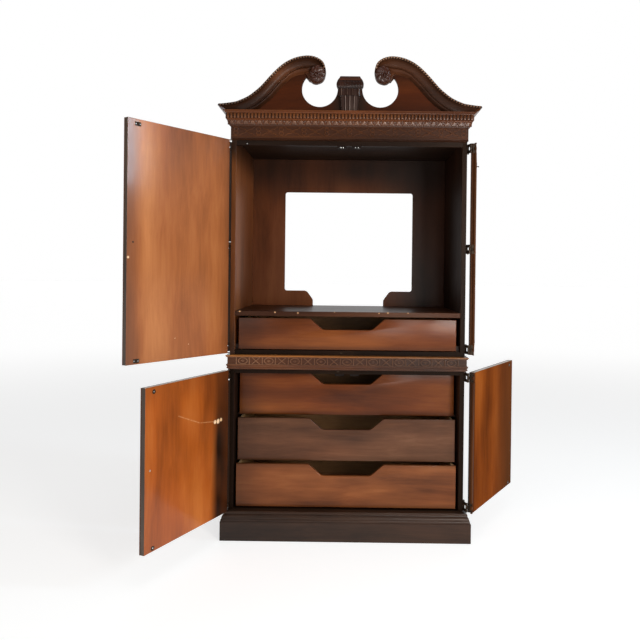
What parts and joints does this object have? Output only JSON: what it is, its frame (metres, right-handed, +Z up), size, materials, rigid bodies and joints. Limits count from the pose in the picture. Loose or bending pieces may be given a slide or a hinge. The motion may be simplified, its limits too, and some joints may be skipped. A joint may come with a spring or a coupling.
{
  "type": "tv armoire",
  "caption": "Tall television armoire in an upper and a lower case, with a swan-neck pediment, hinged doors, an open-backed television bay and sliding drawers",
  "frame": {"origin": "centre of the plinth's footprint, on the floor", "axes": "+X to the viewer's right, +Y to the back (the front faces -Y), +Z up"},
  "size_m": [1.7468, 1.1084, 2.1985],
  "materials": {
    "dark_mahogany": "gloss lacquer, dark",
    "mahogany": "gloss lacquer, warm red-brown",
    "door_veneer": "semi-gloss lacquer, orange-brown with upright grain",
    "drawer_wood": "semi-gloss lacquer, red-brown with level grain",
    "pale_wood": "bare, clear sealed",
    "inner_wood": "satin, dark brown",
    "hinge_brass": "satin, aged",
    "pull_brass": "polished, aged",
    "steel": "satin"
  },
  "bodies": {
    "cabinet": {"plinth_front": "dark_mahogany", "plinth_sides": "dark_mahogany", "plinth_rails": "inner_wood", "plinth_moulding_front": "dark_mahogany", "plinth_moulding_sides": "dark_mahogany", "lower_side_left": "mahogany", "lower_side_right": "mahogany", "lower_bottom": "inner_wood", "lower_top": "inner_wood", "lower_back": "inner_wood", "waist_moulding_front": "dark_mahogany", "waist_moulding_sides": "dark_mahogany", "waist_back_rail": "inner_wood", "upper_side_left": "mahogany", "upper_side_right": "mahogany", "upper_bottom": "inner_wood", "upper_top": "inner_wood", "upper_top_rail": "dark_mahogany", "tv_shelf": "mahogany", "upper_back": "inner_wood", "frieze_board": "dark_mahogany", "cornice_front": "dark_mahogany", "cornice_sides": "dark_mahogany", "crown_returns": "dark_mahogany", "crown_left": "dark_mahogany", "crown_right": "dark_mahogany", "tympanum": "mahogany", "rosettes": "dark_mahogany", "keystone_bracket": "dark_mahogany", "drawer_runners": "pale_wood", "door_catches": "steel", "hinge_frame_leaves": "hinge_brass"},
    "upper_left_door": {"upper_left_door_slab": "door_veneer", "upper_left_door_moulding": "mahogany", "upper_left_door_pull": "pull_brass", "upper_left_door_fittings": "hinge_brass"},
    "upper_right_door": {"upper_right_door_slab": "door_veneer", "upper_right_door_moulding": "mahogany", "upper_right_door_pull": "pull_brass", "upper_right_door_fittings": "hinge_brass"},
    "lower_left_door": {"lower_left_door_slab": "door_veneer", "lower_left_door_moulding": "mahogany", "lower_left_door_pull": "pull_brass", "lower_left_door_fittings": "hinge_brass"},
    "lower_right_door": {"lower_right_door_slab": "door_veneer", "lower_right_door_moulding": "mahogany", "lower_right_door_pull": "pull_brass", "lower_right_door_fittings": "hinge_brass"},
    "upper_drawer": {"upper_drawer_front": "drawer_wood", "upper_drawer_box": "pale_wood", "upper_drawer_bottom": "pale_wood"},
    "top_drawer": {"top_drawer_front": "drawer_wood", "top_drawer_box": "pale_wood", "top_drawer_bottom": "pale_wood"},
    "middle_drawer": {"middle_drawer_front": "drawer_wood", "middle_drawer_box": "pale_wood", "middle_drawer_bottom": "pale_wood"},
    "bottom_drawer": {"bottom_drawer_front": "drawer_wood", "bottom_drawer_box": "pale_wood", "bottom_drawer_bottom": "pale_wood"}
  },
  "joints": [
    {"name": "upper_left_door_hinge", "type": "hinge", "parent": "cabinet", "child": "upper_left_door", "pos_m": [-0.554, -0.286, 0], "axis": [0, 0, -1], "range_deg": [-126.3, 138.7]},
    {"name": "upper_right_door_hinge", "type": "hinge", "parent": "cabinet", "child": "upper_right_door", "pos_m": [0.554, -0.286, 0], "axis": [0, 0, 1], "range_deg": [-259.1, 5.9]},
    {"name": "lower_left_door_hinge", "type": "hinge", "parent": "cabinet", "child": "lower_left_door", "pos_m": [-0.554, -0.286, 0], "axis": [0, 0, -1], "range_deg": [-115.3, 149.7]},
    {"name": "lower_right_door_hinge", "type": "hinge", "parent": "cabinet", "child": "lower_right_door", "pos_m": [0.554, -0.286, 0], "axis": [0, 0, 1], "range_deg": [-238.3, 26.7]},
    {"name": "upper_drawer_slide", "type": "slide", "parent": "cabinet", "child": "upper_drawer", "axis": [0, -1, 0], "range_m": [0, 0.37]},
    {"name": "top_drawer_slide", "type": "slide", "parent": "cabinet", "child": "top_drawer", "axis": [0, -1, 0], "range_m": [0, 0.37]},
    {"name": "middle_drawer_slide", "type": "slide", "parent": "cabinet", "child": "middle_drawer", "axis": [0, -1, 0], "range_m": [-0.047, 0.323]},
    {"name": "bottom_drawer_slide", "type": "slide", "parent": "cabinet", "child": "bottom_drawer", "axis": [0, -1, 0], "range_m": [-0.084, 0.286]}
  ]
}
